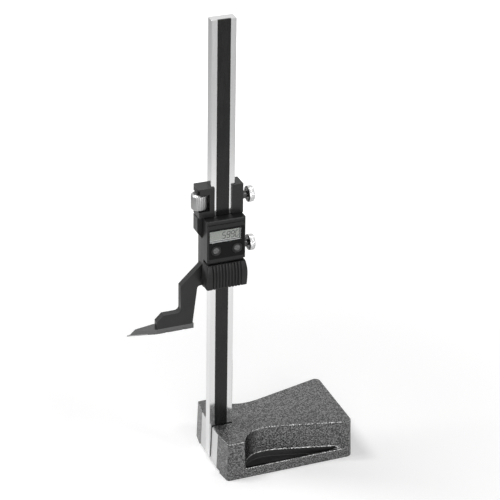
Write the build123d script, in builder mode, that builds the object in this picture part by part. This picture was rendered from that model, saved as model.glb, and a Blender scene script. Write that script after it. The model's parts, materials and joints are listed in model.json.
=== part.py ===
"""Digital height gauge: a cast base carries an upright ground-steel beam, on which a fine-feed
carriage and a measuring slide with an electronic display and a scriber run up and down.

Millimetres, +Z up. The origin lies on the surface the gauge stands on, under the middle of
its overall length and width. +X runs along the base, away from the scriber. The display looks
towards -Y.
"""

import os
from build123d import *

os.makedirs("parts", exist_ok=True)

# ---------------------------------------------------------------- driving dimensions
# Clearances shared by all pieces
running_gap = 0.06  # sliding faces on the beam, each side
turning_gap = 0.06  # round shanks in their threads, radial
seat_gap = 0.3  # between bodies that move past each other
hidden_gap = 0.05  # between pieces fixed to each other

# Base casting; lengths along X are measured from the beam's axis
base_length = 139.7
base_front = 7.8  # front corners ahead of the beam's axis
base_half = 46.75
base_height = 42.5
base_draft = 2.0  # degrees
nose_reach = 11.2  # machined pads either side of the beam
pad_half = 23.0
front_corner_round = 3.0
rear_corner_round = 7.0
waist_x = 39.0
waist_half = 27.6
waist_lead = 0.35  # how far the waist's entry leans, per unit inwards
taper_x = 58.0
taper_half = 30.4
rear_land = 7.9  # full-width stretch at the rear
flange_height = 10.8
wall_foot = 14.4  # underside of the wall above the finger channel
channel_floor = 4.0
channel_front_land = 2.0
channel_rear_land = 13.9
rim_width = 3.6
undercut = 5.0
relief_half = 29.5  # between the two ground rails
relief_depth = 2.8
top_edge_round = 0.8

# Beam and its scale
beam_width = 25.0
beam_thick = 10.4
beam_foot = 5.5
beam_top = 488.8
beam_chamfer = 0.4
slot_front_gap = 1.3
scale_width = 13.5
scale_thick = 0.8
foil_thick = 0.2
beam_screw_x = 2.0
beam_screw_low = 14.0
beam_screw_high = 31.0
beam_screw_radius = 3.0
beam_screw_length = 24.0
beam_screw_grip = 7.0  # thread inside the beam
beam_screw_head_radius = 5.0
beam_screw_head_height = 6.0
socket_depth = 3.0

# Front lips and rear walls that wrap the beam
lip_opening = 2.25  # beyond the scale, each side
rear_wall = 4.0

# Measuring slide
slide_bottom = 208.0
slide_height = 75.4
slide_wall = 7.44
slide_lip = 0.74
slide_gib_thick = 2.35
arm_front = 2.0
arm_thick = 7.4
arm_shoulder_rise = 23.7
arm_elbow_rise = 2.4
arm_outer_reach = 22.2  # outside the slide's left face
arm_root_reach = 4.6
arm_fillet = 4.5
root_fillet = 3.0
arm_root_overlap = 5.0  # how far the arm reaches into the slide's side wall
foot_drop = 41.65  # from the slide's underside to the blade
foot_inner_reach = 9.8
foot_height = 14.65
foot_length = 18.2  # beyond the arm
foot_chamfer_length = 6.9
foot_chamfer_height = 6.8

# Scriber
blade_height = 5.35
blade_width = 12.3
blade_rear_gap = 1.2  # the blade starts behind the foot's inner edge by this
blade_nose_length = 25.9  # beyond the foot
blade_nose_slope = 5.7
blade_nose_half = 0.8
tip_overhang = 3.6
tip_thick = 1.2
tip_seat_length = 17.2
tip_point_half = 0.15
scriber_screw_radius = 2.0
scriber_screw_head = 3.8
scriber_head_height = 2.2
scriber_screw_sink = 0.3
scriber_screw_length = 14.0
scriber_screw_inset = 9.8

# Fine-feed carriage
carriage_gap = 1.2  # above the slide
carriage_height = 31.4
carriage_left_wall = 12.54
carriage_right_wall = 8.14
carriage_lip = 1.94
nut_web = 1.54  # between the beam's bore and the nut's window
nut_radius = 8.0
nut_height = 17.0
nut_chamfer = 1.6
nut_axis_y = 1.0
nut_flutes = 20
nut_flute_radius = 0.75
nut_above_floor = 7.1  # nut's lower face above the carriage's underside
spindle_radius = 1.75
spindle_above_nut = 4.4
spindle_headroom = 1.2
spindle_seat = 15.0  # length held in the lug
lug_height = 16.3
lug_slope = 6.9
notch_width = 1.7
notch_depth = 4.6
notch_height = 5.6

# Clamp screws, axis along X
clamp_thread_radius = 2.5
clamp_neck_radius = 4.0
clamp_neck_groove = 0.9
clamp_neck_groove_length = 1.6
clamp_head_radius = 8.1
clamp_head_length = 6.1
clamp_head_chamfer = 0.7
clamp_flutes = 28
clamp_flute_radius = 0.5
carriage_clamp_rise = 15.4
carriage_clamp_neck = 6.24  # from the carriage's side to the head
slide_clamp_rise = 38.4
slide_clamp_neck = 8.5
pad_radius = 2.3
pad_thick = 1.4

# Gib adjusting screws in the slide's right wall
gib_screw_radius = 1.5
gib_screw_inset = 12.0

# Electronics housing on the slide's front
housing_height = 45.0
housing_overhang = 0.9  # above the slide's top
housing_depth = 10.6
housing_wall = 1.2
housing_side = 3.1
housing_end = 2.2
housing_edge = 0.8
panel_thick = 0.8
panel_margin = 0.7
panel_top_margin = 4.1
panel_corner = 0.8
window_left_margin = 2.2
window_right_margin = 4.8
window_top_margin = 10.5
window_height = 13.0
window_thick = 0.6
display_thick = 2.6
display_border = 1.6
board_thick = 1.2
board_side_gap = 1.9
board_end_gap = 1.0
post_radius = 1.2
post_inset = 2.0
button_radius = 5.2
button_x = 11.0
button_rise = 13.0
button_proud = 0.6
button_travel = 0.6
button_flange = 0.5
button_flange_thick = 0.8
button_edge = 0.3
dome_radius = 3.2
sensor_side_gap = 0.2
sensor_gap = 0.25
sensor_end_gap = 1.5
connector_half = 6.0
connector_height = 3.0
connector_rise = 22.7
housing_screw_inset = 1.8
housing_screw_low_rise = 15.7
housing_screw_top_drop = 5.3
housing_screw_radius = 1.0
housing_screw_head = 1.65
housing_screw_head_depth = 1.4
housing_screw_bite = 6.0

# Ribbed battery cover below the housing
cover_groove = 2.9  # between the housing and the cover
cover_height = 25.9
cover_bulge_drop = 12.9  # from the cover's top to its widest point
cover_side_bulge = 1.5
cover_low_bulge = 1.0
cover_front_step = 0.7  # top edge ahead of the housing's front wall
cover_front_bulge = 3.1
cover_low_front_bulge = 2.3
cover_wall = 1.8
rib_pitch = 3.25
rib_grooves = 10
groove_width = 1.0
groove_depth = 0.55
battery_radius = 10.0
battery_thick = 3.2
tray_side_gap = 3.2
tray_thick = 2.0
tray_margin = 2.6
bridge_inset = 1.4
bridge_setback = 2.2
contact_width = 10.0
contact_height = 5.0
contact_thick = 0.9

# ---------------------------------------------------------------- worked-out sizes
beam_half = beam_width / 2
beam_depth = beam_thick / 2
bore_half = beam_half + running_gap
bore_depth = beam_depth + running_gap
wrap_rear = bore_depth + rear_wall
lip_window_half = scale_width / 2 + lip_opening
beam_screw_spots = [(beam_screw_x, beam_screw_low), (beam_screw_x, beam_screw_high)]

slide_half = bore_half + slide_wall
slide_top = slide_bottom + slide_height
slide_front = bore_depth + slide_lip
slide_bore_right = bore_half + slide_gib_thick + hidden_gap
gib_screw_spots = [(0, slide_bottom + gib_screw_inset), (0, slide_top - gib_screw_inset)]

blade_top = slide_bottom - foot_drop
blade_bottom = blade_top - blade_height
blade_front = -arm_front
blade_rear = blade_front + blade_width
blade_centre = blade_front + blade_width / 2
arm_outer_x = slide_half + arm_outer_reach
arm_root_x = slide_half + arm_root_reach
foot_inner_x = slide_half + foot_inner_reach
foot_end_x = arm_outer_x + foot_length + foot_chamfer_length
foot_top = blade_top + foot_height
blade_rear_x = foot_inner_x - blade_rear_gap
blade_nose_x = foot_end_x + blade_nose_length
blade_nose_top_x = blade_nose_x - blade_nose_slope
tip_rear_x = blade_nose_x - tip_seat_length
tip_reach = blade_nose_x + tip_overhang
screw_line_y = arm_thick / 2 - arm_front
scriber_screw_spots = [
    (-foot_inner_x - scriber_screw_inset, screw_line_y),
    (scriber_screw_inset - foot_end_x, screw_line_y),
]

base_rear = base_length - base_front
recess_start = beam_half
taper_end_x = base_rear - rear_land
channel_start = recess_start + channel_front_land
channel_end = base_rear - channel_rear_land
column_x = (tip_reach - base_rear) / 2  # puts the origin at mid length

carriage_left = bore_half + carriage_left_wall
carriage_right = bore_half + carriage_right_wall
carriage_front = bore_depth + carriage_lip
carriage_bottom = slide_top + carriage_gap
nut_axis_x = -(bore_half + nut_web + seat_gap + nut_radius)
nut_bottom = carriage_bottom + nut_above_floor
nut_top = nut_bottom + nut_height
spindle_top = nut_top + spindle_above_nut
carriage_clamp_z = carriage_bottom + carriage_clamp_rise
slide_clamp_z = slide_bottom + slide_clamp_rise

housing_half = slide_half
housing_top = slide_top + housing_overhang
housing_bottom = housing_top - housing_height
housing_front = slide_front + housing_depth
cavity_half = housing_half - housing_side
cavity_bottom = housing_bottom + housing_end
cavity_top = housing_top - housing_end
panel_front = housing_front + panel_thick
panel_half = housing_half - panel_margin
panel_bottom = housing_bottom + panel_margin
panel_top = housing_top - panel_top_margin
window_left = window_left_margin - housing_half
window_right = housing_half - window_right_margin
window_top = housing_top - window_top_margin
window_bottom = window_top - window_height
button_z = housing_bottom + button_rise
button_spots = [(-button_x, button_z), (button_x, button_z)]
display_front = housing_front - housing_wall
board_front = display_front - display_thick
board_rear = board_front - board_thick
board_half = cavity_half - board_side_gap
board_bottom = cavity_bottom + board_end_gap
board_top = cavity_top - board_end_gap
board_posts = [
    (side * (board_half - post_inset), z)
    for side in (-1, 1)
    for z in (board_bottom + post_inset, board_top - post_inset)
]
sensor_half = lip_window_half - sensor_side_gap
sensor_bottom = cavity_bottom + sensor_end_gap
sensor_top = cavity_top - sensor_end_gap
connector_z = housing_bottom + connector_rise
housing_screw_x = housing_half - housing_screw_inset
housing_screw_spots = [
    (side * housing_screw_x, z)
    for side in (-1, 1)
    for z in (housing_bottom + housing_screw_low_rise, housing_top - housing_screw_top_drop)
]

cover_top = housing_bottom - cover_groove
cover_bottom = cover_top - cover_height
cover_mid_z = cover_top - cover_bulge_drop
cover_top_half = housing_half
cover_mid_half = cover_top_half + cover_side_bulge
cover_low_half = cover_top_half + cover_low_bulge
cover_top_front = housing_front + cover_front_step
cover_mid_front = cover_top_front + cover_front_bulge
cover_low_front = cover_top_front + cover_low_front_bulge
cover_back = slide_front + seat_gap
battery_z = (cover_bottom + cover_top) / 2
tray_half = cover_top_half - cover_wall - tray_side_gap
battery_rear = slide_front + tray_thick + contact_thick


# ---------------------------------------------------------------- sketch planes and helpers
def level(z):
    """Horizontal plane at height z, centred on the beam and drawn in x and y."""
    return Plane(origin=(column_x, 0, z))


def facing_front(y):
    """Upright plane at depth y that looks towards -Y, drawn in x and z."""
    return Plane(origin=(column_x, y, 0), x_dir=(1, 0, 0), z_dir=(0, -1, 0))


def facing_right(x):
    """Upright plane at x from the beam's axis that looks towards +X, drawn in y and z."""
    return Plane(origin=(column_x + x, 0, 0), x_dir=(0, 1, 0), z_dir=(1, 0, 0))


def span(left, right, low, high):
    """Rectangle between two pairs of edges in the current sketch."""
    with Locations(((left + right) / 2, (low + high) / 2)):
        Rectangle(right - left, high - low)


# ---------------------------------------------------------------- base casting
taper_slope = (base_half - taper_half) / (taper_end_x - taper_x)


def waisted_outline(inset):
    """Plan of the base's wall, waisted on both sides, with its sides moved in by inset."""
    with BuildLine() as outline:
        for side in (-1, 1):
            Polyline(
                (-nose_reach, 0),
                (-nose_reach, side * pad_half),
                (-base_front, side * (base_half - inset)),
                (recess_start, side * (base_half - inset)),
            )
            Spline(
                (recess_start, side * (base_half - inset)),
                (waist_x, side * (waist_half - inset)),
                tangents=((waist_lead, -side), (1, 0)),
            )
            Spline(
                (waist_x, side * (waist_half - inset)),
                (taper_x, side * (taper_half - inset)),
                tangents=((1, 0), (1, side * taper_slope)),
            )
            Polyline(
                (taper_x, side * (taper_half - inset)),
                (taper_end_x, side * (base_half - inset)),
                (base_rear, side * (base_half - inset)),
                (base_rear, 0),
            )
    return outline.line


with BuildPart() as base_casting:
    # Wall above the finger channels: full width at both ends, waisted between
    with BuildSketch(level(0)) as wall_plan:
        add(waisted_outline(0))
        make_face()
        rear_corners = wall_plan.vertices().group_by(Axis.X)[-1]
        fillet(rear_corners, radius=rear_corner_round)
        front_corners = wall_plan.vertices().group_by(Axis.X)[1]
        fillet(front_corners, radius=front_corner_round)
    extrude(amount=base_height, taper=base_draft)

    # Flange that runs straight along both sides
    with BuildSketch(level(0)) as flange_plan:
        with BuildLine():
            Polyline(
                (-nose_reach, pad_half),
                (-nose_reach, -pad_half),
                (-base_front, -base_half),
                (base_rear, -base_half),
                (base_rear, base_half),
                (-base_front, base_half),
                close=True,
            )
        make_face()
        fillet(flange_plan.vertices().group_by(Axis.X)[-1], radius=rear_corner_round)
        fillet(flange_plan.vertices().group_by(Axis.X)[1], radius=front_corner_round)
    extrude(amount=flange_height, taper=base_draft)

    # Finger channels between the flange's rim and the undercut core
    with BuildSketch(level(channel_floor)) as channels:
        span(channel_start, channel_end, rim_width - base_half, base_half - rim_width)
        add(make_face(waisted_outline(undercut), mode=Mode.PRIVATE), mode=Mode.SUBTRACT)
    extrude(amount=wall_foot - channel_floor, mode=Mode.SUBTRACT)

    # Rounded edge round the top
    fillet(base_casting.faces().sort_by(Axis.Z)[-1].outer_wire().edges(), radius=top_edge_round)

    # Upright slot that holds the beam, and the relief between the ground rails
    with BuildSketch(level(0)):
        span(-nose_reach - 1, beam_half, -beam_depth - slot_front_gap, beam_depth)
    extrude(amount=base_height + 1, mode=Mode.SUBTRACT)
    with BuildSketch(level(0)):
        span(-nose_reach - 1, base_rear + 1, -relief_half, relief_half)
    extrude(amount=relief_depth, mode=Mode.SUBTRACT)

    # Stepped holes for the screws that pull the beam against the slot's rear wall
    with BuildSketch(facing_front(beam_depth)):
        with Locations(*beam_screw_spots):
            Circle(beam_screw_radius + hidden_gap)
    extrude(amount=-base_half, mode=Mode.SUBTRACT)
    with BuildSketch(facing_front(beam_depth - beam_screw_grip + beam_screw_length)):
        with Locations(*beam_screw_spots):
            Circle(beam_screw_head_radius + seat_gap)
    extrude(amount=-base_half, mode=Mode.SUBTRACT)
base_casting.part.label = "base_casting"

# ---------------------------------------------------------------- beam and scale
scale_head = beam_top - beam_chamfer
groove_depth_total = scale_thick + foil_thick

with BuildPart() as beam:
    with BuildSketch(level(beam_foot)):
        Rectangle(beam_width, beam_thick)
    extrude(amount=beam_top - beam_foot)
    chamfer(beam.edges().filter_by(Axis.Z), length=beam_chamfer)
    chamfer(beam.edges().group_by(Axis.Z)[-1], length=beam_chamfer)
    # Shallow groove for the scale along the front face
    with BuildSketch(facing_front(groove_depth_total - beam_depth)):
        span(-scale_width / 2, scale_width / 2, base_height, beam_top)
    extrude(amount=groove_depth_total, mode=Mode.SUBTRACT)
    # Threads for the screws from behind
    with BuildSketch(facing_front(beam_depth)):
        with Locations(*beam_screw_spots):
            Circle(beam_screw_radius + hidden_gap)
    extrude(amount=beam_screw_grip + hidden_gap, mode=Mode.SUBTRACT)
beam.part.label = "beam"

with BuildPart() as beam_screws:
    with BuildSketch(facing_front(beam_depth - beam_screw_grip)):
        with Locations(*beam_screw_spots):
            Circle(beam_screw_radius)
    extrude(amount=-beam_screw_length)
    head_seat = beam_depth - beam_screw_grip + beam_screw_length
    with BuildSketch(facing_front(head_seat)):
        with Locations(*beam_screw_spots):
            Circle(beam_screw_head_radius)
    extrude(amount=-beam_screw_head_height)
    with BuildSketch(facing_front(head_seat + beam_screw_head_height)):
        with Locations(*beam_screw_spots):
            RegularPolygon(beam_screw_radius, 6)
    extrude(amount=socket_depth, mode=Mode.SUBTRACT)
beam_screws.part.label = "beam_screws"

with BuildPart() as scale_strip:
    with BuildSketch(facing_front(groove_depth_total - beam_depth)):
        span(-scale_width / 2, scale_width / 2, base_height, scale_head)
    extrude(amount=scale_thick)
scale_strip.part.label = "scale_strip"

with BuildPart() as scale_cover:
    with BuildSketch(facing_front(foil_thick - beam_depth)):
        span(-scale_width / 2, scale_width / 2, base_height, scale_head)
    extrude(amount=foil_thick)
scale_cover.part.label = "scale_cover"

# ---------------------------------------------------------------- measuring slide
with BuildPart() as slide_body:
    with BuildSketch(level(slide_bottom)):
        span(-slide_half, slide_half, -slide_front, wrap_rear)
    extrude(amount=slide_top - slide_bottom)
    # Arm that carries the scriber, one flat plate that grows out of the left wall
    with BuildSketch(facing_front(arm_thick - arm_front)) as arm_outline:
        with BuildLine():
            Polyline(
                (-slide_half + arm_root_overlap, slide_bottom + arm_shoulder_rise),
                (-slide_half, slide_bottom + arm_shoulder_rise),
                (-arm_outer_x, slide_bottom + arm_elbow_rise),
                (-arm_outer_x, foot_top),
                (foot_chamfer_length - foot_end_x, foot_top),
                (-foot_end_x, foot_top - foot_chamfer_height),
                (-foot_end_x, blade_top),
                (-foot_inner_x, blade_top),
                (-arm_root_x, slide_bottom),
                (-slide_half + arm_root_overlap, slide_bottom),
                close=True,
            )
        make_face()
        inner_elbow = arm_outline.vertices().sort_by_distance((-arm_outer_x, foot_top))[0]
        fillet(inner_elbow, radius=arm_fillet)
        root_corner = arm_outline.vertices().sort_by_distance((-arm_root_x, slide_bottom))[0]
        fillet(root_corner, radius=root_fillet)
    extrude(amount=arm_thick)
    # Lug that holds the fine-feed spindle
    with BuildSketch(facing_front(wrap_rear)):
        with BuildLine():
            Polyline(
                (-slide_half + arm_root_overlap, slide_top),
                (-carriage_left, slide_top),
                (-carriage_left, slide_top - lug_height),
                (-slide_half, slide_top - lug_height - lug_slope),
                (-slide_half + arm_root_overlap, slide_top - lug_height - lug_slope),
                close=True,
            )
        make_face()
    extrude(amount=wrap_rear + arm_front)
    with BuildSketch(level(slide_top)):
        with Locations((nut_axis_x, nut_axis_y)):
            Circle(spindle_radius + hidden_gap)
    extrude(amount=-spindle_seat, mode=Mode.SUBTRACT)
    # Bore for the beam and its gib, and the front window for the sensor board
    with BuildSketch(level(slide_bottom - 1)):
        span(-bore_half, slide_bore_right, -bore_depth, bore_depth)
        span(-lip_window_half, lip_window_half, -slide_front - 1, 0)
    extrude(amount=slide_top - slide_bottom + 2, mode=Mode.SUBTRACT)
    # Holes through the right wall for the clamp screw and the gib screws
    with BuildSketch(facing_right(0)):
        with Locations((0, slide_clamp_z)):
            Circle(clamp_thread_radius + turning_gap)
        with Locations(*gib_screw_spots):
            Circle(gib_screw_radius + hidden_gap)
    extrude(amount=slide_half + 1, mode=Mode.SUBTRACT)
    # Stepped holes from behind for the housing screws
    with BuildSketch(facing_front(wrap_rear)):
        with Locations(*housing_screw_spots):
            Circle(housing_screw_radius + hidden_gap)
    extrude(amount=wrap_rear + slide_front + 1, mode=Mode.SUBTRACT)
    with BuildSketch(facing_front(wrap_rear)):
        with Locations(*housing_screw_spots):
            Circle(housing_screw_head + hidden_gap)
    extrude(amount=housing_screw_head_depth, mode=Mode.SUBTRACT)
    # Threads for the scriber screws in the foot of the arm
    with BuildSketch(level(blade_bottom + scriber_screw_sink + hidden_gap)):
        with Locations(*scriber_screw_spots):
            Circle(scriber_screw_radius + hidden_gap)
    extrude(amount=scriber_screw_length, mode=Mode.SUBTRACT)
slide_body.part.label = "slide_body"

with BuildPart() as slide_gib:
    with BuildSketch(level(slide_bottom)):
        span(bore_half, bore_half + slide_gib_thick, -bore_depth + hidden_gap, bore_depth - hidden_gap)
    extrude(amount=slide_top - slide_bottom)
slide_gib.part.label = "slide_gib"

with BuildPart() as gib_screws:
    with BuildSketch(facing_right(bore_half + slide_gib_thick)):
        with Locations(*gib_screw_spots):
            Circle(gib_screw_radius)
    extrude(amount=slide_half - bore_half - slide_gib_thick)
    with BuildSketch(facing_right(slide_half)):
        with Locations(*gib_screw_spots):
            RegularPolygon(gib_screw_radius / 2, 6)
    extrude(amount=-gib_screw_radius, mode=Mode.SUBTRACT)
gib_screws.part.label = "gib_screws"

with BuildPart() as spindle:
    with BuildSketch(level(slide_top - spindle_seat)):
        with Locations((nut_axis_x, nut_axis_y)):
            Circle(spindle_radius)
    extrude(amount=spindle_top - slide_top + spindle_seat)
    chamfer(spindle.edges().group_by(Axis.Z)[-1], length=spindle_radius / 3)
spindle.part.label = "spindle"

# ---------------------------------------------------------------- scriber
nose_slope = (blade_centre - blade_nose_half - blade_front) / blade_nose_length

with BuildPart() as scriber_blade:
    with BuildSketch(level(blade_bottom)):
        with BuildLine():
            Polyline(
                (-blade_rear_x, blade_front),
                (-foot_end_x, blade_front),
                (-blade_nose_x, blade_centre - blade_nose_half),
                (-blade_nose_x, blade_centre + blade_nose_half),
                (-foot_end_x, blade_rear),
                (-blade_rear_x, blade_rear),
                close=True,
            )
        make_face()
    extrude(amount=blade_height)
    # Sloping nose
    with BuildSketch(facing_front(blade_rear + 1)):
        with BuildLine():
            Polyline(
                (-blade_nose_top_x, blade_top),
                (-blade_nose_x, blade_bottom + tip_thick),
                (-blade_nose_x - 1, blade_bottom + tip_thick),
                (-blade_nose_x - 1, blade_top + 1),
                (-blade_nose_top_x, blade_top + 1),
                close=True,
            )
        make_face()
    extrude(amount=blade_width + 2, mode=Mode.SUBTRACT)
    # Seat for the hard tip
    with BuildSketch(level(blade_bottom)):
        span(-blade_nose_x - 1, -tip_rear_x, blade_front - 1, blade_rear + 1)
    extrude(amount=tip_thick, mode=Mode.SUBTRACT)
    # Countersunk holes for the two screws from below
    with BuildSketch(level(blade_bottom)):
        with Locations(*scriber_screw_spots):
            Circle(scriber_screw_radius + hidden_gap)
    extrude(amount=blade_height, mode=Mode.SUBTRACT)
    with BuildSketch(level(blade_bottom)):
        with Locations(*scriber_screw_spots):
            Circle(scriber_screw_head + hidden_gap)
    extrude(amount=scriber_head_height + scriber_screw_sink + hidden_gap, mode=Mode.SUBTRACT)
scriber_blade.part.label = "scriber_blade"

with BuildPart() as scriber_tip:
    tip_rear_run = (tip_rear_x - foot_end_x) * nose_slope
    with BuildSketch(level(blade_bottom)):
        with BuildLine():
            Polyline(
                (-tip_rear_x, blade_front + tip_rear_run),
                (-blade_nose_x, blade_centre - blade_nose_half),
                (-tip_reach, blade_centre - tip_point_half),
                (-tip_reach, blade_centre + tip_point_half),
                (-blade_nose_x, blade_centre + blade_nose_half),
                (-tip_rear_x, blade_rear - tip_rear_run),
                close=True,
            )
        make_face()
    extrude(amount=tip_thick)
scriber_tip.part.label = "scriber_tip"

with BuildPart() as scriber_screws:
    screw_base = blade_bottom + scriber_screw_sink
    with BuildSketch(level(screw_base)):
        with Locations(*scriber_screw_spots):
            Circle(scriber_screw_radius)
    extrude(amount=scriber_screw_length)
    with BuildSketch(level(screw_base)):
        with Locations(*scriber_screw_spots):
            Circle(scriber_screw_head)
    extrude(amount=scriber_head_height)
    with BuildSketch(level(screw_base)):
        with Locations(*scriber_screw_spots):
            RegularPolygon(scriber_screw_radius * 0.75, 6)
    extrude(amount=scriber_screw_radius / 2, mode=Mode.SUBTRACT)
scriber_screws.part.label = "scriber_screws"

# ---------------------------------------------------------------- fine-feed carriage
nut_window_bottom = nut_bottom - seat_gap
nut_window_top = nut_top + seat_gap

with BuildPart() as carriage_block:
    with BuildSketch(level(carriage_bottom)):
        span(-carriage_left, carriage_right, -carriage_front, wrap_rear)
    extrude(amount=carriage_height)
    # Bore for the beam, and the front window over the scale
    with BuildSketch(level(carriage_bottom - 1)):
        span(-bore_half, bore_half, -bore_depth, bore_depth)
        span(-lip_window_half, lip_window_half, -carriage_front - 1, 0)
    extrude(amount=carriage_height + 2, mode=Mode.SUBTRACT)
    # Window for the nut, open to the front, left and rear
    with BuildSketch(facing_front(wrap_rear + 1)):
        span(
            -carriage_left - 1,
            nut_axis_x + nut_radius + seat_gap,
            nut_window_bottom,
            nut_window_top,
        )
    extrude(amount=wrap_rear + carriage_front + 2, mode=Mode.SUBTRACT)
    # Spindle passage: right through below the nut, blind above it
    with BuildSketch(level(carriage_bottom)):
        with Locations((nut_axis_x, nut_axis_y)):
            Circle(spindle_radius + seat_gap)
    extrude(amount=spindle_top + spindle_headroom - carriage_bottom, mode=Mode.SUBTRACT)
    # Sight notch at the upper jaw's front corner
    with BuildSketch(level(nut_window_top)):
        span(
            -carriage_left - 1,
            notch_width - carriage_left,
            -carriage_front - 1,
            notch_depth - carriage_front,
        )
    extrude(amount=notch_height, mode=Mode.SUBTRACT)
    # Thread for the clamp screw and its pad
    with BuildSketch(facing_right(0)):
        with Locations((0, carriage_clamp_z)):
            Circle(clamp_thread_radius + turning_gap)
    extrude(amount=carriage_right + 1, mode=Mode.SUBTRACT)
carriage_block.part.label = "carriage_block"

with BuildPart() as carriage_clamp_pad:
    with BuildSketch(facing_right(bore_half)):
        with Locations((0, carriage_clamp_z)):
            Circle(pad_radius)
    extrude(amount=pad_thick)
carriage_clamp_pad.part.label = "carriage_clamp_pad"

with BuildPart() as fine_nut:
    with BuildSketch(level(nut_bottom)):
        with Locations((nut_axis_x, nut_axis_y)):
            Circle(nut_radius)
    extrude(amount=nut_height)
    chamfer(fine_nut.edges().filter_by(GeomType.CIRCLE), length=nut_chamfer)
    with BuildSketch(level(nut_bottom)):
        with Locations((nut_axis_x, nut_axis_y)):
            with PolarLocations(nut_radius + nut_flute_radius / 3, nut_flutes):
                Circle(nut_flute_radius)
            Circle(spindle_radius + turning_gap)
    extrude(amount=nut_height, mode=Mode.SUBTRACT)
fine_nut.part.label = "fine_nut"


# ---------------------------------------------------------------- clamp screws
def clamp_screw(tip_x, wall_x, neck_length, z):
    """Knurled screw along X: thread from tip_x, neck outside wall_x, then the head."""
    neck_x = wall_x + seat_gap
    head_x = wall_x + neck_length
    with BuildPart() as screw:
        with BuildSketch(facing_right(tip_x)):
            with Locations((0, z)):
                Circle(clamp_thread_radius)
        extrude(amount=neck_x - tip_x)
        with BuildSketch(facing_right(neck_x)):
            with Locations((0, z)):
                Circle(clamp_neck_radius)
        extrude(amount=head_x - neck_x)
        with BuildSketch(facing_right(head_x)):
            with Locations((0, z)):
                Circle(clamp_head_radius)
        extrude(amount=clamp_head_length)
        rims = screw.edges().filter_by(GeomType.CIRCLE).group_by(SortBy.RADIUS)[-1]
        chamfer(rims, length=clamp_head_chamfer)
        with BuildSketch(facing_right(head_x)):
            with Locations((0, z)):
                with PolarLocations(clamp_head_radius + clamp_flute_radius / 3, clamp_flutes):
                    Circle(clamp_flute_radius)
        extrude(amount=clamp_head_length, mode=Mode.SUBTRACT)
        # Groove next to the head
        with BuildSketch(facing_right(head_x - clamp_neck_groove_length)):
            with Locations((0, z)):
                Circle(clamp_neck_radius + 1)
                Circle(clamp_neck_radius - clamp_neck_groove, mode=Mode.SUBTRACT)
        extrude(amount=clamp_neck_groove_length, mode=Mode.SUBTRACT)
    return screw.part


carriage_clamp = clamp_screw(
    bore_half + pad_thick + hidden_gap, carriage_right, carriage_clamp_neck, carriage_clamp_z
)
carriage_clamp.label = "carriage_clamp"
slide_clamp = clamp_screw(
    slide_bore_right + seat_gap, slide_half, slide_clamp_neck, slide_clamp_z
)
slide_clamp.label = "slide_clamp"

# ---------------------------------------------------------------- electronics housing
with BuildPart() as housing:
    with BuildSketch(facing_front(-slide_front)):
        span(-housing_half, housing_half, housing_bottom, housing_top)
    extrude(amount=housing_depth)
    front_rim = housing.faces().sort_by(Axis.Y)[0].edges()
    chamfer(front_rim, length=housing_edge)
    # Cavity open at the back
    with BuildSketch(facing_front(-slide_front)):
        span(-cavity_half, cavity_half, cavity_bottom, cavity_top)
    extrude(amount=housing_depth - housing_wall, mode=Mode.SUBTRACT)
    # Openings in the front wall
    with BuildSketch(facing_front(-display_front)):
        span(window_left, window_right, window_bottom, window_top)
        with Locations(*button_spots):
            Circle(button_radius + seat_gap)
    extrude(amount=housing_wall, mode=Mode.SUBTRACT)
    # Posts that the circuit board rests on
    with BuildSketch(facing_front(-board_front)):
        with Locations(*board_posts):
            Circle(post_radius)
    extrude(amount=display_thick)
    # Pilot holes for the housing screws
    with BuildSketch(facing_front(-slide_front)):
        with Locations(*housing_screw_spots):
            Circle(housing_screw_radius + hidden_gap)
    extrude(amount=housing_screw_bite + hidden_gap, mode=Mode.SUBTRACT)
housing.part.label = "housing"

with BuildPart() as front_panel:
    with BuildSketch(facing_front(-housing_front)):
        with Locations((0, (panel_bottom + panel_top) / 2)):
            RectangleRounded(2 * panel_half, panel_top - panel_bottom, panel_corner)
        with Locations(((window_left + window_right) / 2, (window_bottom + window_top) / 2)):
            Rectangle(
                window_right - window_left, window_top - window_bottom, mode=Mode.SUBTRACT
            )
        with Locations(*button_spots):
            Circle(button_radius + seat_gap, mode=Mode.SUBTRACT)
    extrude(amount=panel_thick)
front_panel.part.label = "front_panel"

with BuildPart() as display_window:
    with BuildSketch(facing_front(-housing_front)):
        span(window_left, window_right, window_bottom, window_top)
    extrude(amount=window_thick)
display_window.part.label = "display_window"

with BuildPart() as display_module:
    with BuildSketch(facing_front(-board_front)):
        span(
            hidden_gap - cavity_half,
            window_right,
            window_bottom - display_border,
            window_top + display_border,
        )
    extrude(amount=display_thick)
display_module.part.label = "display_module"

with BuildPart() as circuit_board:
    with BuildSketch(facing_front(-board_rear)):
        span(-board_half, board_half, board_bottom, board_top)
    extrude(amount=board_thick)
circuit_board.part.label = "circuit_board"

with BuildPart() as board_connector:
    with BuildSketch(facing_front(-slide_front)):
        span(
            -connector_half,
            connector_half,
            connector_z - connector_height / 2,
            connector_z + connector_height / 2,
        )
    extrude(amount=board_rear - slide_front)
board_connector.part.label = "board_connector"

with BuildPart() as sensor_board:
    with BuildSketch(facing_front(-beam_depth - sensor_gap)):
        span(-sensor_half, sensor_half, sensor_bottom, sensor_top)
    extrude(amount=slide_front - beam_depth - sensor_gap)
sensor_board.part.label = "sensor_board"

with BuildPart() as switch_domes:
    with BuildSketch(facing_front(-board_front)):
        with Locations(*button_spots):
            Circle(dome_radius)
    extrude(amount=display_thick - button_flange_thick - button_travel - seat_gap)
switch_domes.part.label = "switch_domes"


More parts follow.
